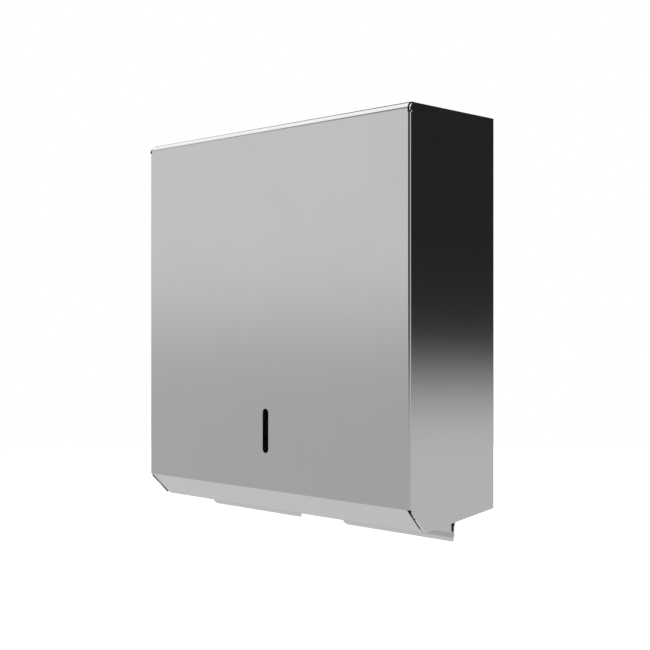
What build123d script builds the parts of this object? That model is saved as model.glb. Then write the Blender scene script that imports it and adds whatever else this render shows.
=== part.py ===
from build123d import *
import os
from math import cos, hypot, pi, radians, sin, tan

# Paper towel dispenser for a wall. Millimetres, +Z up. The wall is the plane Y = 0, the front faces -Y,
# and the origin is the middle of the four wall screw holes.

# Cover: one sheet folded into front, top, sides and chamfer
case_width = 290.0
case_depth = 94.5
sheet = 1.0
side_top = 152.6
cover_proud = 0.8
wall_gap = 0.8
bend_drop = 124.4
chamfer_run = 17.2
chamfer_overhang = 0.6
chamfer_angle = 45.0
bottom_slope = 6.4
top_bend_radius = 5.0
side_bend_radius = 2.0
chamfer_bend_radius = 1.6
corner_relief = 2.6
corner_notch = 1.0
corner_gap = 0.5
chamfer_end_gap = 2.1
chamfer_end_taper = 1.7
side_return = 1.4
side_return_start = 10.0
fold_gap = 0.4
cover_rear_gap = 1.0
return_depth = 10.0
return_bend_radius = 1.5
return_relief = 2.0
sight_height = 34.0
sight_width = 6.5
sight_drop = 79.4
sight_turn = 90.0

# Back plate, screwed to the wall inside the cover's rim
plate_gap = 1.0
plate_flange = 14.0
plate_bend_radius = 2.0
plate_lift = 1.2
ledge_depth = 15.0
ledge_drop = 3.5
ledge_height = 8.0
ledge_end_gap = 7.0

# Wall screw holes
wall_hole_inset = 23.0
wall_hole_rise = 90.0
wall_hole_radius = 3.0

# Hinge: the axis lies just inside the chamfer
open_angle = 90.0
hinge_setback = 10.0
hinge_drop = 1.0
stop_gap = 0.3
arm_thickness = 2.0
arm_length = 40.0
arm_neck = 14.0
arm_pad_start = 22.0
arm_pad_rise = 9.0
arm_corner_radius = 3.0
pin_radius = 2.0
pin_length = 11.5
seat_clearance = 0.02
running_clearance = 0.06

# Hinge bracket on the cover, with its bush and the pin's clip
bracket_thickness = 2.0
bracket_width = 16.0
bracket_height = 24.0
bracket_foot_gap = 5.0
bracket_ear_depth = 9.0
bracket_nose_gap = 0.4
bracket_corner_radius = 2.5
bush_wall = 1.2
bush_flange_wall = 2.3
bush_flange_length = 3.2
bush_play = 0.3
bush_end = 0.5
clip_thickness = 0.7
clip_radius = 3.6
clip_gap = 0.3
groove_depth = 0.5
groove_clearance = 0.05

# Tray that the towels lie on
tray_rise = 1.2
tray_gap = 2.6
tray_nose = 6.0
tray_flange = 12.0
tray_bend_radius = 2.0
tray_corner_gap = 4.0
tray_overlap = 9.0
cheek_rise = 35.0
cheek_length = 14.0
cheek_run = 46.0
exit_side = 8.0
exit_end_gap = 1.0
exit_corner_radius = 4.0
exit_wall_setback = 57.6
exit_wall_foot = 147.8
exit_wall_end_gap = 1.1
exit_bend_radius = 2.5

# Exit lips behind the slot, with the finger notch between them
lip_setback = 60.8
lip_foot = 155.5
lip_flange = 27.0
lip_bend_radius = 12.0
lip_curl_radius = 4.0
lip_curl_angle = 70.0
lip_corner_radius = 6.0
lip_corner_drop = 0.6
notch_width = 47.0

# Rubber buffers in the ledge
buffer_inset = 46.0
buffer_setback = 9.0
buffer_radius = 5.0
buffer_neck_radius = 2.5
buffer_bulb_radius = 3.4
buffer_bulb_height = 3.0
buffer_gap = 0.1

# Cam lock in the cover's top
lock_setback = 32.0
barrel_radius = 8.0
barrel_flat = 7.0
barrel_length = 13.0
barrel_hole_clearance = 0.15
barrel_head_radius = 10.0
barrel_head_height = 2.2
barrel_head_edge = 0.8
plug_radius = 5.5
plug_head_radius = 6.6
plug_head_height = 1.4
plug_inset = 0.2
plug_end_gap = 0.2
plug_square = 7.0
key_length = 7.6
key_width = 1.7
key_depth = 9.0
key_turn = 90.0
washer_radius = 11.0
washer_thickness = 1.0
washer_clearance = 0.3
nut_across_flats = 20.0
nut_height = 4.0
nut_sides = 6
nut_chamfer = 0.8
nut_chamfer_angle = 30.0
cam_thickness = 2.0
cam_reach = 24.0
cam_width = 12.0
cam_hub_radius = 9.0
cam_square_clearance = 0.05
cam_washer_radius = 6.0
cam_washer_thickness = 1.0
screw_radius = 2.0
screw_depth = 7.0
screw_hole_end = 2.0
screw_head_radius = 3.8
screw_head_height = 2.6
screw_slot_width = 1.0
screw_slot_depth = 1.2

# Strike bracket on the back plate
strike_thickness = 1.5
strike_width = 14.0
strike_offset = 13.5
strike_height = 20.0
strike_bend_radius = 2.5
strike_gap = 0.5
strike_clearance = 1.0
strike_lip = 5.0

# Places worked out from the sizes above
front = -case_depth
inner_half = case_width / 2 - sheet
front_half = case_width / 2 - side_bend_radius
top_half = inner_half - fold_gap
cover_top = side_top + cover_proud
cover_under = cover_top - sheet
cover_rear = sheet + cover_rear_gap
side_bend_top = cover_top - top_bend_radius - corner_relief
top_split = case_depth - top_bend_radius - return_relief
chamfer_foot = bend_drop + chamfer_run
chamfer_reach = chamfer_run + chamfer_overhang
chamfer_length = chamfer_reach / cos(radians(chamfer_angle))
chamfer_half = inner_half - chamfer_end_gap
side_edge_length = chamfer_run / cos(radians(chamfer_angle))
slope_rise = tan(radians(bottom_slope))
slope_run = cos(radians(bottom_slope))
rear_bottom = (case_depth - chamfer_run) * slope_rise - chamfer_foot

plate_half = inner_half - plate_gap
plate_foot = rear_bottom + plate_lift
wall_hole_reach = plate_half - wall_hole_inset
ledge_top = side_top - ledge_drop
ledge_foot = ledge_top - ledge_height
ledge_half = plate_half - ledge_end_gap
buffer_reach = ledge_half - buffer_inset

tray_half = plate_half - sheet
exit_half = tray_half - exit_side
hinge_y = front + hinge_setback
hinge_z = -bend_drop - hinge_drop
hinge_reach = (hinge_setback - hinge_drop) * sin(radians(chamfer_angle)) - sheet
arm_half = hinge_reach - stop_gap
arm_angle = radians(open_angle - chamfer_angle)
arm_seat = tray_half - sheet
arm_face = arm_seat - arm_thickness
ear_face = arm_face - bush_play - bush_flange_length
ear_inner = ear_face - bracket_thickness
ear_nose = hinge_reach - bracket_nose_gap
bush_bore = pin_radius + running_clearance
bush_radius = bush_bore + bush_wall
clip_face = ear_inner - bush_end - clip_gap
pin_end = arm_seat - pin_length
groove_radius = pin_radius - groove_depth

sweep = hypot(chamfer_reach - hinge_setback, chamfer_reach - hinge_drop)
tray_front = front + hinge_setback + sweep + tray_gap
tray_front_run = -tray_front / slope_run
exit_front_run = tray_front_run - tray_nose
exit_wall = front + exit_wall_setback
exit_rear_run = -(exit_wall + exit_bend_radius + tray_corner_gap) / slope_run
lip_face = front + lip_setback

lock_y = -lock_setback
barrel_foot = cover_under - barrel_length
barrel_crown = cover_top + barrel_head_height
plug_foot = barrel_foot - plug_end_gap
cam_foot = plug_foot - cam_thickness
strike_top = cam_foot - strike_clearance
strike_front = lock_setback + cam_width / 2 + strike_gap + strike_thickness

hinge_axis_plane = Plane(origin=(0, hinge_y, hinge_z), x_dir=(0, 1, 0), z_dir=(1, 0, 0))
slope_plane = Plane(
    origin=(0, 0, rear_bottom),
    x_dir=(1, 0, 0),
    z_dir=(0, -sin(radians(bottom_slope)), slope_run),
)
chamfer_plane = Plane(
    origin=(0, front, -bend_drop),
    x_dir=(1, 0, 0),
    z_dir=(0, sin(radians(chamfer_angle)), cos(radians(chamfer_angle))),
)


def slope_height(y, lift):
    """Height, at depth y, of a line lifted square off the sides' sloping bottom edge."""
    return rear_bottom + y * slope_rise + lift / slope_run


def keep(piece, label):
    """Label a finished piece and write it."""
    piece.part.label = label
    export_step(piece.part, f"parts/{label}.step")


def keep_pair(right_piece, label):
    """Write a right-hand piece and its mirror image."""
    keep(right_piece, f"{label}_right")
    with BuildPart() as left_piece:
        mirror(right_piece.part, about=Plane.YZ)
    keep(left_piece, f"{label}_left")


os.makedirs("parts", exist_ok=True)

# Back plate: flat sheet with side flanges and a ledge folded forward at the top
with BuildPart() as back_plate:
    plate_height = ledge_foot - plate_foot
    with BuildSketch(Plane.XY.offset(plate_foot)) as plate_plan:
        Rectangle(2 * plate_half, plate_flange, align=(Align.CENTER, Align.MAX))
        fillet(plate_plan.vertices().group_by(Axis.Y)[-1], plate_bend_radius)
    extrude(amount=plate_height)
    with BuildSketch(Plane.XY.offset(plate_foot)) as plate_hollow:
        with Locations((0, -sheet)):
            Rectangle(2 * tray_half, plate_flange, align=(Align.CENTER, Align.MAX))
        fillet(plate_hollow.vertices().group_by(Axis.Y)[-1], plate_bend_radius - sheet)
    extrude(amount=plate_height, mode=Mode.SUBTRACT)
    with BuildSketch(Plane.YZ) as ledge_profile:
        with BuildLine():
            FilletPolyline(
                (-sheet / 2, ledge_foot - ledge_height),
                (-sheet / 2, ledge_top - sheet / 2),
                (-ledge_depth, ledge_top - sheet / 2),
                radius=plate_bend_radius - sheet / 2,
            )
        trace(line_width=sheet)
    extrude(amount=ledge_half, both=True)
    with Locations((0, -buffer_setback, ledge_top)):
        with GridLocations(2 * buffer_reach, 0, 2, 1):
            Hole(buffer_neck_radius + seat_clearance, depth=sheet)
    with Locations(Plane.XZ):
        with GridLocations(2 * wall_hole_reach, 2 * wall_hole_rise, 2, 2):
            Hole(wall_hole_radius)
keep(back_plate, "back_plate")

# Front cover: sides, front bends, top, front and chamfer, all of one folded sheet
with BuildPart() as front_cover:
    # Side, with its raw corner rounded to follow the top bend and its edge cut back for the front bend
    with BuildSketch(Plane.YZ.offset(inner_half)) as side_outline:
        with BuildLine():
            Polyline(
                (-wall_gap, rear_bottom - wall_gap * slope_rise),
                (-wall_gap, side_top),
                (front, side_top),
                (front, side_bend_top + corner_notch),
                (front + side_bend_radius, side_bend_top + corner_notch),
                (front + side_bend_radius, -bend_drop - side_bend_radius),
                (front + chamfer_run, -chamfer_foot),
                close=True,
            )
        make_face()
        fillet(side_outline.vertices().group_by(Axis.Y)[-1].sort_by(Axis.X)[0], top_bend_radius)
    extrude(amount=sheet)
    mirror(about=Plane.YZ)
    # Bends between front and sides
    bend_length = bend_drop + side_bend_top
    with BuildSketch(Plane.XY.offset(-bend_drop)) as bend_plan:
        with Locations((0, front)):
            Rectangle(case_width, 2 * side_bend_radius, align=(Align.CENTER, Align.MIN))
        fillet(bend_plan.vertices().group_by(Axis.Y)[0], side_bend_radius)
    extrude(amount=bend_length)
    with BuildSketch(Plane.XY.offset(-bend_drop)) as bend_hollow:
        with Locations((0, front + sheet)):
            Rectangle(2 * inner_half, 2 * side_bend_radius, align=(Align.CENTER, Align.MIN))
        fillet(bend_hollow.vertices().group_by(Axis.Y)[0], side_bend_radius - sheet)
    extrude(amount=bend_length, mode=Mode.SUBTRACT)
    # Top, front and chamfer in one run of sheet
    with BuildSketch(Plane.YZ) as cover_profile:
        with BuildLine():
            FilletPolyline(
                (-top_split, cover_top - sheet / 2),
                (front + sheet / 2, cover_top - sheet / 2),
                (front + sheet / 2, -bend_drop + sheet / 2 * tan(radians(chamfer_angle / 2))),
                (
                    front + chamfer_reach + sheet / 2 * sin(radians(chamfer_angle)),
                    -bend_drop - chamfer_reach + sheet / 2 * cos(radians(chamfer_angle)),
                ),
                radius=[top_bend_radius - sheet / 2, chamfer_bend_radius - sheet / 2],
            )
        trace(line_width=sheet)
    extrude(amount=front_half, both=True)
    # Tapered ends of the chamfer, and the returns that narrow the slits beside them
    with BuildSketch(chamfer_plane) as chamfer_slits:
        with BuildLine():
            Polyline(
                (chamfer_half, 0),
                (chamfer_half - chamfer_end_taper, chamfer_length),
                (inner_half - sheet / 2, chamfer_length),
                (inner_half - sheet / 2, 0),
                close=True,
            )
        make_face()
        mirror(about=Plane.YZ)
    extrude(amount=sheet, mode=Mode.SUBTRACT)
    with BuildSketch(chamfer_plane) as side_returns:
        with Locations((inner_half, side_return_start), (-inner_half, side_return_start)):
            Rectangle(2 * side_return, side_edge_length - side_return_start, align=(Align.CENTER, Align.MIN))
        Rectangle(2 * inner_half + sheet, 2 * chamfer_length, mode=Mode.INTERSECT)
    extrude(amount=sheet)
    # Gaps between the top bend's ends and the sides
    with BuildSketch(Plane.XZ.offset(case_depth)) as corner_gaps:
        with Locations((front_half, side_bend_top), (-front_half, side_bend_top)):
            Rectangle(2 * corner_gap, top_bend_radius + corner_relief, align=(Align.CENTER, Align.MIN))
    extrude(amount=-(top_bend_radius + return_relief), mode=Mode.SUBTRACT)
    # Top panel with its side returns, behind the top bend
    top_length = top_split - cover_rear
    with BuildSketch(Plane.XZ.offset(cover_rear)) as top_channel:
        with Locations((0, cover_top)):
            Rectangle(2 * top_half, return_depth, align=(Align.CENTER, Align.MAX))
        fillet(top_channel.vertices().group_by(Axis.Y)[-1], return_bend_radius)
    extrude(amount=top_length)
    with BuildSketch(Plane.XZ.offset(cover_rear)) as top_hollow:
        with Locations((0, cover_under)):
            Rectangle(2 * (top_half - sheet), return_depth, align=(Align.CENTER, Align.MAX))
        fillet(top_hollow.vertices().group_by(Axis.Y)[-1], return_bend_radius - sheet)
    extrude(amount=top_length, mode=Mode.SUBTRACT)
    with BuildSketch(Plane.XZ.offset(case_depth)) as sight_slot:
        with Locations((0, -sight_drop)):
            SlotOverall(sight_height, sight_width, rotation=sight_turn)
    extrude(amount=-sheet, mode=Mode.SUBTRACT)
    # Lock hole with two flats
    with BuildSketch(Plane.XY.offset(cover_top)) as lock_hole:
        with Locations((0, lock_y)):
            Circle(barrel_radius + barrel_hole_clearance)
            Rectangle(
                2 * (barrel_flat + barrel_hole_clearance),
                2 * barrel_head_radius,
                mode=Mode.INTERSECT,
            )
    extrude(amount=-sheet, mode=Mode.SUBTRACT)
keep(front_cover, "front_cover")

# Hinge arm: its lower edge is the stop that the chamfer meets when the cover is open
with BuildPart() as hinge_arm:
    arm_plane = Plane(
        origin=(arm_face, hinge_y, hinge_z),
        x_dir=(0, cos(arm_angle), sin(arm_angle)),
        z_dir=(1, 0, 0),
    )
    with BuildSketch(arm_plane) as arm_outline:
        with BuildLine():
            Polyline(
                (0, -arm_half),
                (arm_length, -arm_half),
                (arm_length, arm_pad_rise),
                (arm_pad_start, arm_pad_rise),
                (arm_neck, arm_half),
                (0, arm_half),
            )
            RadiusArc((0, arm_half), (0, -arm_half), -arm_half)
        make_face()
        fillet(arm_outline.vertices().group_by(Axis.X)[-1], arm_corner_radius)
        Circle(pin_radius + seat_clearance, mode=Mode.SUBTRACT)
    extrude(amount=arm_thickness)
keep_pair(hinge_arm, "hinge_arm")

# Hinge pin, with a groove for its clip
with BuildPart() as hinge_pin:
    with BuildSketch(hinge_axis_plane.offset(pin_end)):
        Circle(pin_radius)
    extrude(amount=pin_length)
    with BuildSketch(hinge_axis_plane.offset(clip_face + groove_clearance)):
        Circle(pin_radius)
        Circle(groove_radius, mode=Mode.SUBTRACT)
    extrude(amount=-(clip_thickness + 2 * groove_clearance), mode=Mode.SUBTRACT)
keep_pair(hinge_pin, "hinge_pin")

# Spring clip in the groove, open downwards
with BuildPart() as hinge_clip:
    with BuildSketch(hinge_axis_plane.offset(clip_face)):
        Circle(clip_radius)
        Circle(groove_radius + seat_clearance, mode=Mode.SUBTRACT)
        Rectangle(
            2 * groove_radius, clip_radius, align=(Align.CENTER, Align.MAX), mode=Mode.SUBTRACT
        )
    extrude(amount=-clip_thickness)
keep_pair(hinge_clip, "hinge_clip")

# Hinge bracket: foot on the front sheet, ear on the bush
with BuildPart() as hinge_bracket:
    bracket_foot = -bend_drop + bracket_foot_gap
    with BuildSketch(Plane.XZ.offset(case_depth - sheet)) as bracket_base:
        with Locations((ear_face, bracket_foot)):
            Rectangle(bracket_width, bracket_height, align=(Align.MAX, Align.MIN))
        fillet(bracket_base.vertices().group_by(Axis.X)[0], bracket_corner_radius)
    extrude(amount=-bracket_thickness)
    with BuildSketch(Plane.YZ.offset(ear_face)) as bracket_ear:
        with Locations((hinge_y, hinge_z)):
            Circle(ear_nose)
        with Locations((front + sheet, bracket_foot)):
            Rectangle(bracket_ear_depth, bracket_height, align=(Align.MIN, Align.MIN))
        make_hull()
        with Locations((hinge_y, hinge_z)):
            Circle(bush_radius + seat_clearance, mode=Mode.SUBTRACT)
    extrude(amount=-bracket_thickness)
keep_pair(hinge_bracket, "hinge_bracket")

# Hinge bush: a sleeve in the ear and a flange that keeps the ear off the arm
with BuildPart() as hinge_bush:
    with BuildSketch(hinge_axis_plane.offset(ear_face)):
        Circle(bush_bore + bush_flange_wall)
    extrude(amount=bush_flange_length)
    with BuildSketch(hinge_axis_plane.offset(ear_face)):
        Circle(bush_radius)
    extrude(amount=-(bracket_thickness + bush_end))
    with Locations(hinge_axis_plane.offset(ear_face)):
        Hole(bush_bore)
keep_pair(hinge_bush, "hinge_bush")

# Bottom tray
with BuildPart() as bottom_tray:
    tray_end = slope_plane.from_local_coords((0, -tray_corner_gap, tray_rise))
    tray_end_plane = Plane(origin=tray_end, x_dir=(1, 0, 0), z_dir=-slope_plane.y_dir)
    with BuildSketch(tray_end_plane) as tray_channel:
        Rectangle(2 * tray_half, tray_flange, align=(Align.CENTER, Align.MIN))
        fillet(tray_channel.vertices().group_by(Axis.Y)[0], tray_bend_radius)
    extrude(amount=tray_front_run - tray_corner_gap)
    with BuildSketch(tray_end_plane) as tray_hollow:
        with Locations((0, sheet)):
            Rectangle(2 * arm_seat, tray_flange, align=(Align.CENTER, Align.MIN))
        fillet(tray_hollow.vertices().group_by(Axis.Y)[0], tray_bend_radius - sheet)
    extrude(amount=tray_front_run - tray_corner_gap, mode=Mode.SUBTRACT)
    # Cheeks that carry the hinge arms, raised from the side flanges
    with BuildSketch(Plane.YZ.offset(arm_seat)) as cheek_outline:
        cheek_lift = tray_rise + tray_flange / 2
        cheek_rear = tray_front + cheek_run
        with BuildLine():
            Polyline(
                (tray_front, slope_height(tray_front, cheek_lift)),
                (tray_front, hinge_z + cheek_rise),
                (tray_front + cheek_length, hinge_z + cheek_rise),
                (cheek_rear, slope_height(cheek_rear, cheek_lift)),
                close=True,
            )
        make_face()
        fillet(cheek_outline.vertices().group_by(Axis.Y)[-1], arm_corner_radius)
    cheek = extrude(amount=sheet)
    mirror(cheek, about=Plane.YZ)
    # Towel slot
    with BuildSketch(slope_plane.offset(tray_rise)) as towel_slot:
        with Locations((0, -exit_front_run)):
            Rectangle(
                2 * (exit_half + exit_end_gap),
                exit_front_run - exit_rear_run,
                align=(Align.CENTER, Align.MIN),
            )
        fillet(towel_slot.vertices().group_by(Axis.Y)[0], exit_corner_radius)
    extrude(amount=sheet, mode=Mode.SUBTRACT)
    # Rear edge of the slot, turned down square to the floor
    with BuildSketch(Plane.YZ) as exit_wall_profile:
        wall_mid = exit_wall + sheet / 2
        wall_start = exit_wall + exit_bend_radius + tray_corner_gap + tray_overlap
        floor_lift = tray_rise + sheet / 2
        wall_top = slope_height(wall_mid, floor_lift)
        with BuildLine():
            FilletPolyline(
                (wall_start, slope_height(wall_start, floor_lift)),
                (wall_mid, wall_top),
                (wall_mid + (wall_top + exit_wall_foot) * slope_rise, -exit_wall_foot),
                radius=exit_bend_radius - sheet / 2,
            )
        trace(line_width=sheet)
    extrude(amount=exit_half - exit_wall_end_gap, both=True)
    # Rear flange, up against the back plate
    with BuildSketch(Plane.YZ) as rear_flange_profile:
        flange_mid = -sheet - sheet / 2
        flange_start = flange_mid - tray_corner_gap - tray_overlap
        flange_foot = slope_height(flange_mid, floor_lift)
        with BuildLine():
            FilletPolyline(
                (flange_start, slope_height(flange_start, floor_lift)),
                (flange_mid, flange_foot),
                (flange_mid, flange_foot + tray_flange),
                radius=tray_bend_radius - sheet / 2,
            )
        trace(line_width=sheet)
    extrude(amount=tray_half - tray_corner_gap, both=True)
keep(bottom_tray, "bottom_tray")

# Exit lip: flange under the tray, rounded shoulder, wall and curled lower edge
with BuildPart() as exit_lip:
    with BuildSketch(Plane.YZ) as lip_profile:
        lip_mid = lip_face + sheet / 2
        flange_lift = tray_rise - sheet / 2
        flange_end = lip_mid + lip_flange
        curl_reach = lip_curl_radius * sin(radians(lip_curl_angle))
        with BuildLine():
            lip_path = FilletPolyline(
                (flange_end, slope_height(flange_end, flange_lift)),
                (lip_mid, slope_height(lip_mid, flange_lift)),
                (lip_mid, -lip_foot + curl_reach),
                radius=lip_bend_radius - sheet / 2,
            )
            JernArc(lip_path @ 1, lip_path % 1, lip_curl_radius - sheet / 2, lip_curl_angle)
        trace(line_width=sheet)
    extrude(amount=exit_half)
    with BuildSketch(Plane.XZ) as lip_outline:
        with Locations((notch_width / 2, -lip_foot - lip_corner_drop)):
            Rectangle(exit_half - notch_width / 2, chamfer_foot, align=(Align.MIN, Align.MIN))
        fillet(lip_outline.vertices().group_by(Axis.Y)[0], lip_corner_radius)
    extrude(amount=case_depth, mode=Mode.INTERSECT)
keep_pair(exit_lip, "exit_lip")

# Rubber buffers: head on the ledge, neck through it, bulb below
with BuildPart() as cover_buffers:
    buffer_top = cover_under - buffer_gap
    with BuildSketch(Plane.XZ.offset(buffer_setback)):
        with BuildLine():
            Polyline(
                (0, buffer_top),
                (buffer_radius, buffer_top),
                (buffer_radius, ledge_top),
                (buffer_neck_radius, ledge_top),
                (buffer_neck_radius, ledge_top - sheet),
                (buffer_bulb_radius, ledge_top - sheet),
                (buffer_neck_radius, ledge_top - sheet - buffer_bulb_height),
                (0, ledge_top - sheet - buffer_bulb_height),
                close=True,
            )
        make_face()
    revolve(axis=Axis((0, -buffer_setback, 0), (0, 0, 1)))
with BuildPart() as cover_buffer_pair:
    with GridLocations(2 * buffer_reach, 0, 2, 1):
        add(cover_buffers.part)
keep(cover_buffer_pair, "cover_buffers")

# Lock barrel: round head on the cover's top, body with two flats through it
with BuildPart() as lock_barrel:
    with BuildSketch(Plane.XY.offset(cover_top)):
        with Locations((0, lock_y)):
            Circle(barrel_head_radius)
    extrude(amount=barrel_head_height)
    chamfer(lock_barrel.edges().filter_by(GeomType.CIRCLE).sort_by(Axis.Z)[-1], barrel_head_edge)
    with BuildSketch(Plane.XY.offset(cover_top)):
        with Locations((0, lock_y)):
            Circle(barrel_radius)
            Rectangle(2 * barrel_flat, 2 * barrel_head_radius, mode=Mode.INTERSECT)
    extrude(amount=-(sheet + barrel_length))
    with Locations((0, lock_y, barrel_crown)):
        CounterBoreHole(
            plug_radius + running_clearance,
            plug_head_radius + running_clearance,
            plug_inset + plug_head_height + running_clearance,
        )
keep(lock_barrel, "lock_barrel")

# Washer and nut that clamp the barrel
with BuildPart() as lock_washer:
    with BuildSketch(Plane.XY.offset(cover_under)):
        with Locations((0, lock_y)):
            Circle(washer_radius)
            Circle(barrel_radius + washer_clearance, mode=Mode.SUBTRACT)
    extrude(amount=-washer_thickness)
keep(lock_washer, "lock_washer")

with BuildPart() as lock_nut:
    nut_top = cover_under - washer_thickness
    with BuildSketch(Plane.XY.offset(nut_top)):
        with Locations((0, lock_y)):
            RegularPolygon(nut_across_flats / 2, nut_sides, major_radius=False)
    extrude(amount=-nut_height)
    # The corners are turned off to a cone at the lower end
    with BuildSketch(Plane.XZ.offset(lock_setback)) as nut_turning:
        nut_corner = nut_across_flats / 2 / cos(pi / nut_sides)
        nut_bevel = nut_chamfer * tan(radians(nut_chamfer_angle))
        with BuildLine():
            Polyline(
                (0, nut_top),
                (nut_corner, nut_top),
                (nut_corner, nut_top - nut_height + nut_bevel),
                (nut_corner - nut_chamfer, nut_top - nut_height),
                (0, nut_top - nut_height),
                close=True,
            )
        make_face()
    revolve(axis=Axis((0, lock_y, 0), (0, 0, 1)), mode=Mode.INTERSECT)
    with Locations((0, lock_y, nut_top)):
        Hole(barrel_radius + running_clearance)
keep(lock_nut, "lock_nut")

# Lock plug: head in the barrel's counterbore, key slot, square tang for the cam
with BuildPart() as lock_plug:
    plug_crown = barrel_crown - plug_inset
    with BuildSketch(Plane.XY.offset(plug_crown)):
        with Locations((0, lock_y)):
            Circle(plug_head_radius)
    extrude(amount=-plug_head_height)
    with BuildSketch(Plane.XY.offset(plug_crown)):
        with Locations((0, lock_y)):
            Circle(plug_radius)
    extrude(amount=plug_foot - plug_crown)
    with BuildSketch(Plane.XY.offset(plug_foot)):
        with Locations((0, lock_y)):
            Rectangle(plug_square, plug_square)
    extrude(amount=-cam_thickness)
    with BuildSketch(Plane.XY.offset(plug_crown)):
        with Locations((0, lock_y)):
            SlotOverall(key_length, key_width, rotation=key_turn)
    extrude(amount=-key_depth, mode=Mode.SUBTRACT)
    with BuildSketch(Plane.XY.offset(cam_foot)):
        with Locations((0, lock_y)):
            Circle(screw_radius + seat_clearance)
    extrude(amount=screw_depth - cam_washer_thickness + screw_hole_end, mode=Mode.SUBTRACT)
keep(lock_plug, "lock_plug")

# Cam: it points at the wall when unlocked, and turns sideways behind the strike
with BuildPart() as lock_cam:
    with BuildSketch(Plane.XY.offset(plug_foot)):
        with Locations((0, lock_y)):
            Circle(cam_hub_radius)
            Rectangle(cam_width, cam_reach - cam_width / 2, align=(Align.CENTER, Align.MIN))
        with Locations((0, lock_y + cam_reach - cam_width / 2)):
            Circle(cam_width / 2)
        with Locations((0, lock_y)):
            Rectangle(
                plug_square + 2 * cam_square_clearance,
                plug_square + 2 * cam_square_clearance,
                mode=Mode.SUBTRACT,
            )
    extrude(amount=-cam_thickness)
keep(lock_cam, "lock_cam")

with BuildPart() as cam_washer:
    with BuildSketch(Plane.XY.offset(cam_foot)):
        with Locations((0, lock_y)):
            Circle(cam_washer_radius)
            Circle(screw_radius + washer_clearance, mode=Mode.SUBTRACT)
    extrude(amount=-cam_washer_thickness)
keep(cam_washer, "cam_washer")

with BuildPart() as cam_screw:
    screw_seat = cam_foot - cam_washer_thickness
    with BuildSketch(Plane.XY.offset(screw_seat)):
        with Locations((0, lock_y)):
            Circle(screw_head_radius)
    extrude(amount=-screw_head_height)
    with BuildSketch(Plane.XY.offset(screw_seat - screw_head_height)):
        with Locations((0, lock_y)):
            Rectangle(2 * screw_head_radius, screw_slot_width)
    extrude(amount=screw_slot_depth, mode=Mode.SUBTRACT)
    with BuildSketch(Plane.XY.offset(screw_seat)):
        with Locations((0, lock_y)):
            Circle(screw_radius)
    extrude(amount=screw_depth)
keep(cam_screw, "cam_screw")

# Strike: foot on the back plate, arm under the cam, lip in front of it
with BuildPart() as lock_strike:
    with BuildSketch(Plane.YZ.offset(strike_offset)) as strike_profile:
        strike_mid = strike_thickness / 2
        with BuildLine():
            FilletPolyline(
                (-sheet - strike_mid, strike_top - strike_height),
                (-sheet - strike_mid, strike_top - strike_mid),
                (-strike_front + strike_mid, strike_top - strike_mid),
                (-strike_front + strike_mid, strike_top + strike_lip),
                radius=strike_bend_radius - strike_mid,
            )
        trace(line_width=strike_thickness)
    extrude(amount=strike_width)
keep(lock_strike, "lock_strike")
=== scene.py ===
import logging
import math
from dataclasses import dataclass
from enum import Enum
from typing import Any, Optional, Union

import bmesh
import bpy
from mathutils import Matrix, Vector


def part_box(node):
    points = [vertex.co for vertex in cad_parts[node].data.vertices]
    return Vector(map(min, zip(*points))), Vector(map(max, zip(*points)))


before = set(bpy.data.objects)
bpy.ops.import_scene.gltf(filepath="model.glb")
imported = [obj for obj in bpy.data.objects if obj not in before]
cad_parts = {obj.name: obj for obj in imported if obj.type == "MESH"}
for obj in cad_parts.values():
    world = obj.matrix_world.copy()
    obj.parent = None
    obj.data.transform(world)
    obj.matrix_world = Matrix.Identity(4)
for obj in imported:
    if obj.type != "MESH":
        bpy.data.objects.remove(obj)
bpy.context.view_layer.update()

log = logging.getLogger("towel_dispenser")

Point = tuple[float, float, float]
Tone = tuple[float, float, float]
Colour = tuple[float, float, float, float]
Span = tuple[float, float]
Stops = tuple[tuple[float, float], ...]

FULL_TURN = 360.0
HALF_TURN = 180.0
ZENITH = 90.0
# Every noise lies around this level.
NOISE_MIDDLE = 0.5
# How many times its own lightness a shaded colour can reach.
SHADE_ROOM = 2.0
# Numbers of a Mix node's sockets when it mixes colours.
MIX_FACTOR, MIX_LOW, MIX_HIGH, MIX_RESULT = 0, 6, 7, 2


def opaque(tone: Tone) -> Colour:
    """A colour with its alpha."""
    return (*tone, 1.0)


def grey(level: float) -> Colour:
    """A neutral colour with its alpha."""
    return (level, level, level, 1.0)


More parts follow.
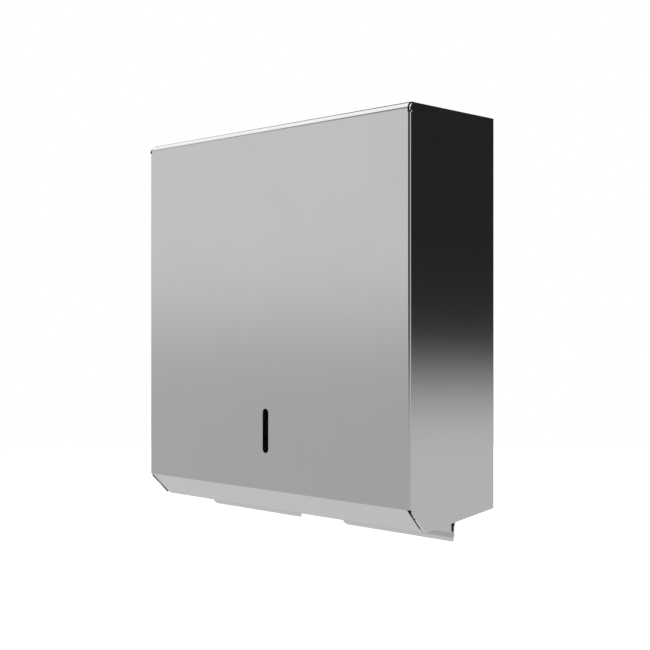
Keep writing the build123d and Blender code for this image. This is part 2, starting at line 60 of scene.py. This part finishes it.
class Value:
    """A number socket of a node tree. Sums with it add Math nodes."""

    def __init__(self, graph: "Graph", socket: bpy.types.NodeSocket) -> None:
        """Keep the tree and the socket that holds the number."""
        self.graph = graph
        self.socket = socket

    def __add__(self, other: "Number") -> "Value":
        """Sum."""
        return self.graph.math("ADD", self, other)

    def __radd__(self, other: "Number") -> "Value":
        """Sum with a plain number on the left."""
        return self.graph.math("ADD", other, self)

    def __sub__(self, other: "Number") -> "Value":
        """Difference."""
        return self.graph.math("SUBTRACT", self, other)

    def __rsub__(self, other: "Number") -> "Value":
        """Difference with a plain number on the left."""
        return self.graph.math("SUBTRACT", other, self)

    def __mul__(self, other: "Number") -> "Value":
        """Product."""
        return self.graph.math("MULTIPLY", self, other)

    def __rmul__(self, other: "Number") -> "Value":
        """Product with a plain number on the left."""
        return self.graph.math("MULTIPLY", other, self)

    def __truediv__(self, other: "Number") -> "Value":
        """Quotient."""
        return self.graph.math("DIVIDE", self, other)

    def __rtruediv__(self, other: "Number") -> "Value":
        """Quotient with a plain number on the left."""
        return self.graph.math("DIVIDE", other, self)

    def __neg__(self) -> "Value":
        """Opposite."""
        return self.graph.math("MULTIPLY", self, -1.0)

    def __abs__(self) -> "Value":
        """Size without its sign."""
        return self.graph.math("ABSOLUTE", self)

    def step(self, low: float, high: float) -> "Value":
        """Rise smoothly from 0 at low to 1 at high.

        Args:
            low: Where the rise starts.
            high: Where it ends.

        Returns:
            The risen value, from 0 to 1.
        """
        node = self.graph.node(
            "ShaderNodeMapRange",
            {"interpolation_type": "SMOOTHSTEP"},
            {"Value": self, "From Min": low, "From Max": high},
        )
        return Value(self.graph, node.outputs["Result"])

    def band(self, low: float, high: float, soft: float) -> "Value":
        """Be 1 between low and high, with edges that soften over a width.

        Args:
            low: Lower edge of the band.
            high: Upper edge of the band.
            soft: Half the width of each edge.

        Returns:
            The band's mask.
        """
        return self.step(low - soft, low + soft) * (1.0 - self.step(high - soft, high + soft))


Number = Union[float, Value]


@dataclass(frozen=True)
class Cloud:
    """A soft noise: its cells per metre, its finer layers, and the levels between which it rises."""

    scale: float
    layers: float
    rise: Span = (0.0, 1.0)


@dataclass(frozen=True)
class Relief:
    """How a height shows as bumps: its strength, and metres per unit of height."""

    strength: float = 1.0
    distance: float = 1.0


class Graph:
    """One node tree, emptied, with the calls that add nodes to it."""

    def __init__(self, tree: bpy.types.NodeTree) -> None:
        """Empty the tree and keep it."""
        self.tree = tree
        tree.nodes.clear()

    def node(
        self,
        kind: str,
        settings: Optional[dict[str, Any]] = None,
        sockets: Optional[dict[Union[str, int], Any]] = None,
    ) -> bpy.types.Node:
        """Add a node.

        Args:
            kind: The node's type.
            settings: Its own settings, set first. "stops" are a ramp's places and colours.
            sockets: Values or links of its inputs, by name or by number.

        Returns:
            The node.
        """
        made = self.tree.nodes.new(kind)
        for name, value in (settings or {}).items():
            if name == "stops":
                self._lay_stops(made.color_ramp, value)
            else:
                setattr(made, name, value)
        for name, value in (sockets or {}).items():
            target = made.inputs[name]
            if isinstance(value, Value):
                self.tree.links.new(value.socket, target)
            elif isinstance(value, bpy.types.NodeSocket):
                self.tree.links.new(value, target)
            else:
                target.default_value = value
        return made

    @staticmethod
    def _lay_stops(ramp: bpy.types.ColorRamp, stops: list[tuple[float, Colour]]) -> None:
        """Give a ramp its stops.

        Args:
            ramp: The ramp.
            stops: Places from 0 to 1, each with its colour.
        """
        while len(ramp.elements) < len(stops):
            ramp.elements.new(1.0)
        for element, (place, colour) in zip(ramp.elements, stops):
            element.position = place
            element.color = colour

    def math(self, operation: str, *terms: Number) -> Value:
        """Add a Math node on numbers and values, and return its result."""
        node = self.node("ShaderNodeMath", {"operation": operation}, dict(enumerate(terms)))
        return Value(self, node.outputs["Value"])

    def ramp(self, factor: Number, stops: list[tuple[float, float]]) -> Value:
        """Read a grey ramp at a factor.

        Args:
            factor: Where to read it, from 0 to 1.
            stops: Places and grey levels.

        Returns:
            The grey level there.
        """
        greys = [(place, grey(level)) for place, level in stops]
        node = self.node("ShaderNodeValToRGB", {"stops": greys}, {"Fac": factor})
        return Value(self, self.node("ShaderNodeRGBToBW", None, {0: node.outputs["Color"]}).outputs["Val"])

    def parts(self, vector: bpy.types.NodeSocket) -> tuple[Value, Value, Value]:
        """Split a vector into its three numbers."""
        node = self.node("ShaderNodeSeparateXYZ", None, {"Vector": vector})
        return tuple(Value(self, node.outputs[name]) for name in "XYZ")

    def place(self) -> bpy.types.NodeSocket:
        """Coordinates in the part's own frame, in metres."""
        return self.node("ShaderNodeTexCoord").outputs["Object"]

    def facing(self) -> bpy.types.NodeSocket:
        """Surface direction in the part's own frame."""
        return self.node("ShaderNodeTexCoord").outputs["Normal"]

    def scaled(self, vector: bpy.types.NodeSocket, factors: Point) -> bpy.types.NodeSocket:
        """Multiply a vector's numbers by three factors."""
        node = self.node("ShaderNodeVectorMath", {"operation": "MULTIPLY"}, {0: vector, 1: factors})
        return node.outputs["Vector"]

    def gap(self, vector: bpy.types.NodeSocket, point: Point) -> Value:
        """Distance from a fixed point."""
        node = self.node("ShaderNodeVectorMath", {"operation": "DISTANCE"}, {0: vector, 1: point})
        return Value(self, node.outputs["Value"])

    def noise(self, vector: bpy.types.NodeSocket, cloud: Cloud) -> Value:
        """Soft noise around its middle level.

        Args:
            vector: Where to read it.
            cloud: The noise's scale and layers.

        Returns:
            The noise, from 0 to 1.
        """
        sockets = {"Vector": vector, "Scale": cloud.scale, "Detail": cloud.layers}
        return Value(self, self.node("ShaderNodeTexNoise", None, sockets).outputs["Fac"])

    def mix(self, factor: Number, low: Any, high: Any) -> bpy.types.NodeSocket:
        """Mix two colours.

        Args:
            factor: Share of the second colour.
            low: First colour, as four numbers or a socket.
            high: Second colour.

        Returns:
            The mixed colour's socket.
        """
        sockets = {MIX_FACTOR: factor, MIX_LOW: low, MIX_HIGH: high}
        return self.node("ShaderNodeMix", {"data_type": "RGBA"}, sockets).outputs[MIX_RESULT]

    def shaded(self, tone: Tone, shade: Value) -> bpy.types.NodeSocket:
        """Make a colour lighter or darker.

        Args:
            tone: The colour.
            shade: Its lightness, where 1 keeps it as it is.

        Returns:
            The shaded colour's socket.
        """
        lightest = tuple(SHADE_ROOM * part for part in tone)
        return self.mix(shade / SHADE_ROOM, grey(0.0), opaque(lightest))

    def bumped(self, height: Value, relief: Relief) -> bpy.types.NodeSocket:
        """Turn a height into a surface direction.

        Args:
            height: How far the surface stands out.
            relief: How much of it shows.

        Returns:
            The direction's socket.
        """
        sockets = {"Strength": relief.strength, "Distance": relief.distance, "Height": height}
        return self.node("ShaderNodeBump", None, sockets).outputs["Normal"]

    def rays(self, *kinds: str) -> Value:
        """Be 1 for rays of the named kinds.

        Args:
            kinds: Outputs of the Light Path node.

        Returns:
            The mask.
        """
        path = self.node("ShaderNodeLightPath").outputs
        found = Value(self, path[kinds[0]])
        for kind in kinds[1:]:
            found = self.math("MAXIMUM", found, Value(self, path[kind]))
        return found


@dataclass(frozen=True)
class Finish:
    """What every finish has: a name and a way to make its material."""

    name: str

    def make(self) -> bpy.types.Material:
        """Make the material: a Principled surface that the finish's own method fills in.

        Returns:
            The material.
        """
        material = bpy.data.materials.new(self.name)
        material.use_nodes = True
        graph = Graph(material.node_tree)
        surface = graph.node("ShaderNodeBsdfPrincipled", None, self.surface(graph))
        graph.node("ShaderNodeOutputMaterial", None, {"Surface": surface.outputs["BSDF"]})
        return material

    def surface(self, graph: Graph) -> dict[str, Any]:
        """Values and links of the Principled surface's sockets, from the finish's own nodes."""
        raise NotImplementedError


@dataclass(frozen=True)
class SpotWeld:
    """The mark of a spot weld: a shallow dimple with a ring that the heat has coloured.

    The dimple's core and the ring are given as shares of the radius.
    """

    radius: float = 0.0024
    core: float = 0.55
    depth: float = 0.00012
    roughness: float = 0.10
    ring: Span = (0.8, 1.7)
    ring_soft: float = 0.3
    ring_tone: Tone = (0.36, 0.27, 0.17)
    ring_share: float = 0.55


@dataclass(frozen=True)
class SatinSteel(Finish):
    """Stainless sheet with a fine satin grain that follows the sheet round its folds."""

    tone: Tone = (0.62, 0.62, 0.62)
    roughness: float = 0.12
    roughness_spread: float = 0.04
    grain: Cloud = Cloud(1.0, 3.0)
    grain_pitch: float = 0.00022
    grain_length: float = 0.030
    grain_depth: float = 0.0000008
    grain_shade: float = 0.10
    lying_rise: Span = (0.55, 0.85)
    smudge: Cloud = Cloud(14.0, 4.0, (0.35, 0.75))
    smudge_share: float = 0.012
    dull_roughness: float = 0.7
    relief: Relief = Relief()
    weld: SpotWeld = SpotWeld()
    weld_spots: tuple[Point, ...] = ()

    def surface(self, graph: Graph) -> dict[str, Any]:
        """Satin grain, faint handling marks and the spot welds, if the piece has any.

        Args:
            graph: The material's tree.

        Returns:
            The steel's sockets.
        """
        place = graph.place()
        grain = self._grain(graph, place)
        smudge = graph.noise(place, self.smudge).step(*self.smudge.rise)
        rough = self.roughness + (grain - NOISE_MIDDLE) * self.roughness_spread + smudge * self.smudge_share
        shade = 1.0 + (grain - NOISE_MIDDLE) * self.grain_shade - smudge * self.smudge_share
        colour = graph.shaded(self.tone, shade)
        height = grain * self.grain_depth
        if self.weld_spots:
            dimple, ring = self._weld_marks(graph, place)
            colour = graph.mix(ring * self.weld.ring_share, colour, opaque(self.weld.ring_tone))
            height = height - dimple * self.weld.depth
            rough = rough + dimple * self.weld.roughness
        normal = graph.bumped(height, self.relief)
        return {"Base Color": colour, "Metallic": 1.0, "Roughness": rough, "Normal": normal}

    def _grain(self, graph: Graph, place: bpy.types.NodeSocket) -> Value:
        """Grain that runs upright on the upright sheet and from front to back on the level sheet.

        Args:
            graph: The material's tree.
            place: Coordinates in the part's frame.

        Returns:
            The grain, around the noise's middle level.
        """
        level = abs(graph.parts(graph.facing())[2]).step(*self.lying_rise)
        across, along = 1.0 / self.grain_pitch, 1.0 / self.grain_length
        upright = graph.noise(graph.scaled(place, (across, across, along)), self.grain)
        lying = graph.noise(graph.scaled(place, (across, along, across)), self.grain)
        return upright + (lying - upright) * level

    def _weld_marks(self, graph: Graph, place: bpy.types.NodeSocket) -> tuple[Value, Value]:
        """Find the places of the spot welds' marks.

        Args:
            graph: The material's tree.
            place: Coordinates in the part's frame.

        Returns:
            Masks of the dimples and of the rings round them.
        """
        near = graph.gap(place, self.weld_spots[0])
        for spot in self.weld_spots[1:]:
            near = graph.math("MINIMUM", near, graph.gap(place, spot))
        radius = self.weld.radius
        inner, outer = self.weld.ring
        dimple = 1.0 - near.step(self.weld.core * radius, radius)
        return dimple, near.band(inner * radius, outer * radius, self.weld.ring_soft * radius)

    def dull_with_painted_shade(self, graph: Graph, sockets: dict[str, Any], mask: Value, tone: Tone) -> dict[str, Any]:
        """Turn the steel dull and paint a colour on it where a mask says so; its callers use this for painted
        shade.

        Args:
            graph: The material's tree.
            sockets: The steel's sockets.
            mask: 1 where it is dull and painted.
            tone: Colour painted on the dull places, a painted shade.

        Returns:
            The sockets with the dull places in them.
        """
        # Painted shade: the tone replaces the steel's colour under the mask.
        colour = graph.mix(mask, sockets["Base Color"], opaque(tone))
        rough = sockets["Roughness"] + mask * self.dull_roughness
        return {**sockets, "Base Color": colour, "Metallic": 1.0 - mask, "Roughness": rough}


@dataclass(frozen=True)
class MillSteel(SatinSteel):
    """Duller sheet of the fittings inside, left as it comes from the mill."""

    tone: Tone = (0.55, 0.55, 0.55)
    roughness: float = 0.33


@dataclass(frozen=True)
class LipSteel(SatinSteel):
    """Satin sheet whose shoulder is painted near-black, as painted shade, where it runs under the tray."""

    # Painted shade: a near-black colour that stands in for the shadow on the shoulder under the tray.
    dust_and_painted_shade: Tone = (0.012, 0.012, 0.011)
    painted_shade_rise: Span = (0.03, 0.25)
    shoulder_foot: float = -0.1485
    shoulder_soft: float = 0.001

    def surface(self, graph: Graph) -> dict[str, Any]:
        """The sheet's own surface, with painted shade where its shoulder faces up.

        Args:
            graph: The material's tree.

        Returns:
            The steel's sockets.
        """
        sockets = super().surface(graph)
        height = graph.parts(graph.place())[2]
        soft = self.shoulder_soft
        shoulder = height.step(self.shoulder_foot - soft, self.shoulder_foot + soft)
        # Painted shade: the shoulder's upward faces get the near-black colour, standing in for shadow.
        dusty_and_painted_shade = graph.parts(graph.facing())[2].step(*self.painted_shade_rise) * shoulder
        return self.dull_with_painted_shade(graph, sockets, dusty_and_painted_shade, self.dust_and_painted_shade)


@dataclass(frozen=True)
class CoverSteel(SatinSteel):
    """Satin sheet with dull cut edges in the slits at the chamfer's ends, painted near-black as painted
    shade.
    """

    # Painted shade: a near-black colour on the cut edges, standing in for the shadow inside the slits.
    slit_painted_shade: Tone = (0.012, 0.012, 0.012)
    edge_rise: Span = (0.75, 0.9)
    slit_reach: Span = (0.1405, 0.1438)
    slit_soft: float = 0.0001
    slit_top: float = -0.122
    slit_fade: float = 0.001

    def surface(self, graph: Graph) -> dict[str, Any]:
        """The sheet's own surface, with painted shade on the cut edges in the slits.

        Args:
            graph: The material's tree.

        Returns:
            The steel's sockets.
        """
        sockets = super().surface(graph)
        across, _, height = graph.parts(graph.place())
        sideways = abs(graph.parts(graph.facing())[0]).step(*self.edge_rise)
        below = (self.slit_top - height).step(0.0, self.slit_fade)
        slit = abs(across).band(*self.slit_reach, self.slit_soft) * below
        # Paint the shade on the sideways-facing cut edges in the slits.
        return self.dull_with_painted_shade(graph, sockets, sideways * slit, self.slit_painted_shade)


@dataclass(frozen=True)
class ZincPlate(Finish):
    """Bright zinc plating on small turned and stamped steel pieces."""

    tone: Tone = (0.60, 0.62, 0.66)
    straw: Tone = (0.62, 0.59, 0.52)
    roughness: float = 0.33
    roughness_spread: float = 0.16
    cloud: Cloud = Cloud(260.0, 3.0, (0.35, 0.7))
    speck: Cloud = Cloud(2600.0, 2.0)
    relief: Relief = Relief(0.25, 0.00004)

    def surface(self, graph: Graph) -> dict[str, Any]:
        """Cloudy plating with a faint blue and straw cast.

        Args:
            graph: The material's tree.

        Returns:
            The plating's sockets.
        """
        place = graph.place()
        cloud = graph.noise(place, self.cloud)
        colour = graph.mix(cloud.step(*self.cloud.rise), opaque(self.tone), opaque(self.straw))
        rough = self.roughness + (cloud - NOISE_MIDDLE) * self.roughness_spread
        normal = graph.bumped(graph.noise(place, self.speck), self.relief)
        return {"Base Color": colour, "Metallic": 1.0, "Roughness": rough, "Normal": normal}


@dataclass(frozen=True)
class LockChrome(Finish):
    """Polished plating on the lock, turned on top and threaded below the cover."""

    centre: Span = (0.0, -0.032)
    thread_top: float = 0.1514
    thread_fade: float = 0.0004
    thread_pitch: float = 0.001
    thread_depth: float = 0.0006
    ring_pitch: float = 0.00032
    ring_depth: float = 0.0000012
    tone: Tone = (0.76, 0.76, 0.77)
    hazy: Tone = (0.68, 0.69, 0.71)
    roughness: float = 0.11
    roughness_spread: float = 0.07
    haze: Cloud = Cloud(420.0, 3.0, (0.3, 0.8))
    relief: Relief = Relief(0.8)

    def surface(self, graph: Graph) -> dict[str, Any]:
        """Fine turning rings on the face and a screw thread on the barrel.

        Args:
            graph: The material's tree.

        Returns:
            The plating's sockets.
        """
        place = graph.place()
        haze = graph.noise(place, self.haze)
        colour = graph.mix(haze.step(*self.haze.rise), opaque(self.tone), opaque(self.hazy))
        rough = self.roughness + (haze - NOISE_MIDDLE) * self.roughness_spread
        normal = graph.bumped(self._turned(graph, place), self.relief)
        return {"Base Color": colour, "Metallic": 1.0, "Roughness": rough, "Normal": normal}

    def _turned(self, graph: Graph, place: bpy.types.NodeSocket) -> Value:
        """Height of the rings and of the thread.

        Args:
            graph: The material's tree.
            place: Coordinates in the part's frame.

        Returns:
            The height, in metres.
        """
        x, y, z = graph.parts(place)
        x, y = x - self.centre[0], y - self.centre[1]
        radius = graph.math("SQRT", x * x + y * y)
        turn = graph.math("ARCTAN2", y, x) / math.tau
        rings = graph.math("SINE", radius * (math.tau / self.ring_pitch))
        flank = graph.math("PINGPONG", z / self.thread_pitch + turn, 0.5)
        threaded = 1.0 - z.step(self.thread_top - self.thread_fade, self.thread_top)
        return rings * self.ring_depth * (1.0 - threaded) + flank * threaded * self.thread_depth


@dataclass(frozen=True)
class Nylon(Finish):
    """Natural nylon, off-white and slightly waxy."""

    tone: Tone = (0.78, 0.75, 0.67)
    waxy: Tone = (0.70, 0.66, 0.56)
    roughness: float = 0.42
    roughness_spread: float = 0.12
    cloud: Cloud = Cloud(500.0, 3.0, (0.3, 0.75))
    skin: Cloud = Cloud(5200.0, 2.0)
    relief: Relief = Relief(0.3, 0.00003)

    def surface(self, graph: Graph) -> dict[str, Any]:
        """Moulded skin with a little cloudiness.

        Args:
            graph: The material's tree.

        Returns:
            The nylon's sockets.
        """
        place = graph.place()
        cloud = graph.noise(place, self.cloud)
        colour = graph.mix(cloud.step(*self.cloud.rise), opaque(self.tone), opaque(self.waxy))
        rough = self.roughness + (cloud - NOISE_MIDDLE) * self.roughness_spread
        normal = graph.bumped(graph.noise(place, self.skin), self.relief)
        return {"Base Color": colour, "Roughness": rough, "Normal": normal}


@dataclass(frozen=True)
class Rubber(Finish):
    """Black moulded rubber with a dull, dusty skin."""

    tone: Tone = (0.022, 0.022, 0.023)
    dusty_and_painted_shade: Tone = (0.075, 0.073, 0.07)
    dust_share: float = 0.5
    roughness: float = 0.68
    roughness_spread: float = 0.2
    dust_and_painted_shade: Cloud = Cloud(700.0, 4.0, (0.5, 0.85))
    skin: Cloud = Cloud(3800.0, 3.0)
    relief: Relief = Relief(0.5, 0.00006)

    def surface(self, graph: Graph) -> dict[str, Any]:
        """Dull skin with dust in its hollows.

        Args:
            graph: The material's tree.

        Returns:
            The rubber's sockets.
        """
        place = graph.place()
        dust_and_painted_shade = graph.noise(place, self.dust_and_painted_shade).step(*self.dust_and_painted_shade.rise)
        skin = graph.noise(place, self.skin)
        colour = graph.mix(dust_and_painted_shade * self.dust_share, opaque(self.tone), opaque(self.dusty_and_painted_shade))
        rough = self.roughness + (skin - NOISE_MIDDLE) * self.roughness_spread
        return {"Base Color": colour, "Roughness": rough, "Normal": graph.bumped(skin, self.relief)}


class Hand(Enum):
    """Which side of the dispenser a piece of a pair is on."""

    LEFT = "left"
    RIGHT = "right"

    @property
    def sign(self) -> float:
        """Sign of the piece's X."""
        return -1.0 if self is Hand.LEFT else 1.0


def dress(node: str, finish: Finish) -> None:
    """Give a CAD node its finish.

    Args:
        node: The node's name.
        finish: What it is finished with.
    """
    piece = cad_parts[node]
    piece.data.materials.clear()
    piece.data.materials.append(finish.make())
    log.info("%s: %s", node, finish.name)


@dataclass
class Cover:
    """The folded cover with its hinge brackets and bushes."""

    bracket_weld_inset: float = 0.00525
    bracket_weld_y: float = -0.0915
    bracket_weld_heights: tuple[float, ...] = (-0.113, -0.103)

    def build(self) -> None:
        """Dress the cover's pieces."""
        dress("front_cover", CoverSteel("satin_cover"))
        for hand in Hand:
            bracket = f"hinge_bracket_{hand.value}"
            low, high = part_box(bracket)
            across = hand.sign * (min(abs(low.x), abs(high.x)) + self.bracket_weld_inset)
            spots = tuple((across, self.bracket_weld_y, height) for height in self.bracket_weld_heights)
            dress(bracket, MillSteel(f"mill_bracket_{hand.value}", weld_spots=spots))
            dress(f"hinge_bush_{hand.value}", Nylon(f"nylon_bush_{hand.value}"))


@dataclass
class WallHousing:
    """What stays on the wall: back plate, tray, exit lips, hinge arms and pins, strike and buffers."""

    back_roughness: float = 0.16
    tray_roughness: float = 0.14
    clip_roughness: float = 0.28
    lip_weld_places: tuple[float, ...] = (0.040, 0.078, 0.118)
    lip_weld_y: float = -0.013
    lip_weld_drop: float = 0.0018
    arm_weld_places: tuple[tuple[float, float], ...] = ((-0.0612, -0.0964), (-0.0583, -0.1028))
    strike_weld_y: float = -0.0025
    strike_weld_pitch: float = 0.006

    def build(self) -> None:
        """Dress the fixed pieces."""
        dress("back_plate", SatinSteel("satin_back", roughness=self.back_roughness))
        dress("bottom_tray", SatinSteel("satin_tray", roughness=self.tray_roughness))
        for hand in Hand:
            self._dress_side(hand)
        low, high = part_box("lock_strike")
        middle = (low.x + high.x) / 2
        heights = (low.z + self.strike_weld_pitch, low.z + 2 * self.strike_weld_pitch)
        spots = tuple((middle, self.strike_weld_y, height) for height in heights)
        dress("lock_strike", MillSteel("mill_strike", weld_spots=spots))
        dress("cover_buffers", Rubber("rubber_buffers"))

    def _dress_side(self, hand: Hand) -> None:
        """Dress the pieces of one side.

        Args:
            hand: Which side it is.
        """
        lip = f"exit_lip_{hand.value}"
        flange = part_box(lip)[1].z - self.lip_weld_drop
        spots = tuple((hand.sign * place, self.lip_weld_y, flange) for place in self.lip_weld_places)
        dress(lip, LipSteel(f"satin_lip_{hand.value}", weld_spots=spots))
        arm = f"hinge_arm_{hand.value}"
        low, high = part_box(arm)
        inner = hand.sign * min(abs(low.x), abs(high.x))
        spots = tuple((inner, y, z) for y, z in self.arm_weld_places)
        dress(arm, MillSteel(f"mill_arm_{hand.value}", weld_spots=spots))
        dress(f"hinge_pin_{hand.value}", ZincPlate(f"zinc_pin_{hand.value}"))
        dress(f"hinge_clip_{hand.value}", ZincPlate(f"zinc_clip_{hand.value}", roughness=self.clip_roughness))


@dataclass
class KeyLock:
    """The cam lock in the cover's top."""

    bright: tuple[str, ...] = ("lock_barrel", "lock_plug")
    plated: tuple[str, ...] = ("lock_nut", "lock_washer", "lock_cam", "cam_washer", "cam_screw")

    def build(self) -> None:
        """Dress the lock's pieces."""
        for node in self.bright:
            dress(node, LockChrome(f"chrome_{node}"))
        for node in self.plated:
            dress(node, ZincPlate(f"zinc_{node}"))


@dataclass
class Studio:
    """Camera, pale floor and the soft surroundings that the steel reflects.

    Angles of the surroundings are in degrees. Round the part, 0 is in front of it and 90 is on its right. The
    stops give an angle round the part and a grey level, or the height where the soft box starts.
    """

    camera_place: Point = (0.66234, -0.70011, 0.0)
    view_line: Point = (-0.7029, 0.7113, 0.0)
    lens: float = 65.04
    sensor: float = 36.0
    rise: float = 0.0028
    floor_height: float = -0.9
    floor_radius: float = 8.0
    floor_sides: int = 96
    floor_grey: float = 0.8
    floor_glow: float = 0.7
    # What stands round the part at its own height.
    ring: Stops = (
        (-180, 0.20), (-154, 0.20), (-148, 0.01), (-136, 0.01), (-126, 0.20), (-95, 0.78), (-62, 0.86),
        (-38, 0.85), (-29, 0.03), (0, 0.01), (37, 0.01), (43, 0.85), (68, 0.85), (78, 0.03), (100, 0.023),
        (160, 0.023), (180, 0.20),
    )
    # The darker gap between that and the soft box.
    gap_tone: Stops = (
        (-180, 0.20), (-154, 0.20), (-148, 0.01), (-136, 0.01), (-126, 0.32), (-70, 0.45), (-54, 0.42),
        (-49, 0.34), (-43, 0.17), (180, 0.20),
    )
    gap_rise: Span = (14.0, 21.0)
    # The soft box overhead.
    box_tone: Stops = (
        (-180, 0.08), (-148, 0.01), (-136, 0.01), (-122, 0.08), (-108, 1.0), (100, 1.0), (120, 0.4),
        (180, 0.08),
    )
    box_level: float = 1.4
    box_foot: Stops = ((-180, 29), (-70, 26), (-54, 24), (-43, 29), (180, 29))
    box_soft: float = 5.0
    # The pale ground below the horizon.
    ground: Stops = (
        (-180, 0.64), (-95, 0.63), (-56, 0.60), (-42, 0.57), (-30, 0.565), (0, 0.60), (60, 0.64), (100, 0.71),
        (160, 0.71), (180, 0.64),
    )
    steep_ground: float = 0.785
    steep_rise: Span = (11.0, 24.0)
    horizon: float = 0.3
    haze: float = 3.6
    # The dark card on the right, which hangs a little below the horizon.
    card_turn: Span = (-20.0, 170.0)
    card_foot: float = -3.1
    card_haze: float = 2.6
    # The white backdrop behind the part, as the steel mirrors it.
    backdrop_turn: Span = (-165.0, -112.0)
    backdrop_reach: Span = (-28.0, 3.0)
    backdrop_soft: float = 3.0
    turn_soft: float = 6.0

    def build(self) -> None:
        """Make the camera, the floor and the world."""
        self._make_camera()
        self._make_floor()
        self._make_world()

    def _make_camera(self) -> None:
        """Stand the camera where the photograph was taken from."""
        data = bpy.data.cameras.new("camera")
        data.lens = self.lens
        data.sensor_width = self.sensor
        data.shift_y = self.rise
        data.dof.use_dof = False
        camera = bpy.data.objects.new("camera", data)
        camera.location = self.camera_place
        camera.rotation_euler = Vector(self.view_line).to_track_quat("-Z", "Y").to_euler()
        bpy.context.scene.collection.objects.link(camera)
        bpy.context.scene.camera = camera
        log.info("camera: lens %.2f mm", self.lens)

    def _make_floor(self) -> None:
        """Lay the pale floor, well below the part as it hangs on its wall."""
        mesh = bpy.data.meshes.new("floor")
        form = bmesh.new()
        bmesh.ops.create_circle(form, cap_ends=True, segments=self.floor_sides, radius=self.floor_radius)
        form.to_mesh(mesh)
        form.free()
        floor = bpy.data.objects.new("floor", mesh)
        floor.location.z = self.floor_height
        floor.visible_glossy = False
        bpy.context.scene.collection.objects.link(floor)
        mesh.materials.append(self._floor_material())
        log.info("floor: %.1f m below the origin", -self.floor_height)

    def _floor_material(self) -> bpy.types.Material:
        """Make the floor's material, white to the camera with the soft shadow left in it.

        Returns:
            The material.
        """
        material = bpy.data.materials.new("pale_floor")
        material.use_nodes = True
        graph = Graph(material.node_tree)
        seen = graph.rays("Is Camera Ray", "Is Glossy Ray", "Is Transmission Ray")
        matt = graph.node("ShaderNodeBsdfDiffuse", None, {"Color": grey(self.floor_grey)}).outputs[0]
        glow = graph.node("ShaderNodeEmission", None, {"Color": grey(1.0), "Strength": self.floor_glow})
        lit = graph.node("ShaderNodeAddShader", None, {0: matt, 1: glow.outputs[0]}).outputs[0]
        both = graph.node("ShaderNodeMixShader", None, {0: seen, 1: matt, 2: lit})
        graph.node("ShaderNodeOutputMaterial", None, {"Surface": both.outputs[0]})
        return material

    def _make_world(self) -> None:
        """Put the surroundings all round the part, with a white background for the camera."""
        world = bpy.data.worlds.new("studio")
        bpy.context.scene.world = world
        world.use_nodes = True
        graph = Graph(world.node_tree)
        x, y, z = graph.parts(graph.node("ShaderNodeTexCoord").outputs["Generated"])
        height = graph.math("ARCSINE", z) * math.degrees(1.0)
        turn = graph.math("ARCTAN2", x, -y) / math.tau + 0.5
        level = self._surroundings(graph, turn, height)
        shown = level + (1.0 - level) * self._white(graph, turn, height)
        back = graph.node("ShaderNodeBackground", None, {"Color": grey(1.0), "Strength": shown})
        graph.node("ShaderNodeOutputWorld", None, {"Surface": back.outputs["Background"]})
        log.info("world: soft surroundings")

    def _surroundings(self, graph: Graph, turn: Value, height: Value) -> Value:
        """Light the part: bright at the front left, dark cards right and behind, a soft box overhead.

        Args:
            graph: The world's tree.
            turn: Direction round the part, from 0 to 1.
            height: Direction above the horizon, in degrees.

        Returns:
            The light's level in that direction.
        """
        ring = self._read(graph, turn, self.ring)
        gap = self._read(graph, turn, self.gap_tone)
        box = self._read(graph, turn, self.box_tone) * self.box_level
        ground = self._read(graph, turn, self.ground)
        feet = tuple((angle, foot / ZENITH) for angle, foot in self.box_foot)
        foot = self._read(graph, turn, feet) * ZENITH
        above = gap + (box - gap) * (height - foot).step(-self.box_soft, self.box_soft)
        upper = ring + (above - ring) * height.step(*self.gap_rise)
        lower = ground + (self.steep_ground - ground) * (-height).step(*self.steep_rise)
        card = (turn * FULL_TURN - HALF_TURN).band(*self.card_turn, self.turn_soft)
        horizon = self.horizon + card * self.card_foot
        haze = self.haze + card * (self.card_haze - self.haze)
        return lower + (upper - lower) * ((height - horizon) / haze).step(-1.0, 1.0)

    def _white(self, graph: Graph, turn: Value, height: Value) -> Value:
        """Find where the background is white: for the camera all over, in mirrored rays behind the part.

        Args:
            graph: The world's tree.
            turn: Direction round the part, from 0 to 1.
            height: Direction above the horizon, in degrees.

        Returns:
            The background's mask.
        """
        backdrop = (turn * FULL_TURN - HALF_TURN).band(*self.backdrop_turn, self.turn_soft)
        backdrop = backdrop * height.band(*self.backdrop_reach, self.backdrop_soft)
        mirrored = graph.rays("Is Glossy Ray", "Is Transmission Ray")
        return graph.math("MAXIMUM", graph.rays("Is Camera Ray"), mirrored * backdrop)

    @staticmethod
    def _read(graph: Graph, turn: Value, stops: Stops) -> Value:
        """Read stops that go round the part, at a direction from 0 to 1."""
        return graph.ramp(turn, [((angle + HALF_TURN) / FULL_TURN, level) for angle, level in stops])


def main() -> None:
    """Build the stage and dress the dispenser, piece by piece."""
    logging.basicConfig(level=logging.INFO, format="%(name)s: %(message)s")
    bpy.context.scene.view_settings.view_transform = "Standard"
    Studio().build()
    for assembly in (WallHousing(), Cover(), KeyLock()):
        assembly.build()


if __name__ == "__main__":
    main()
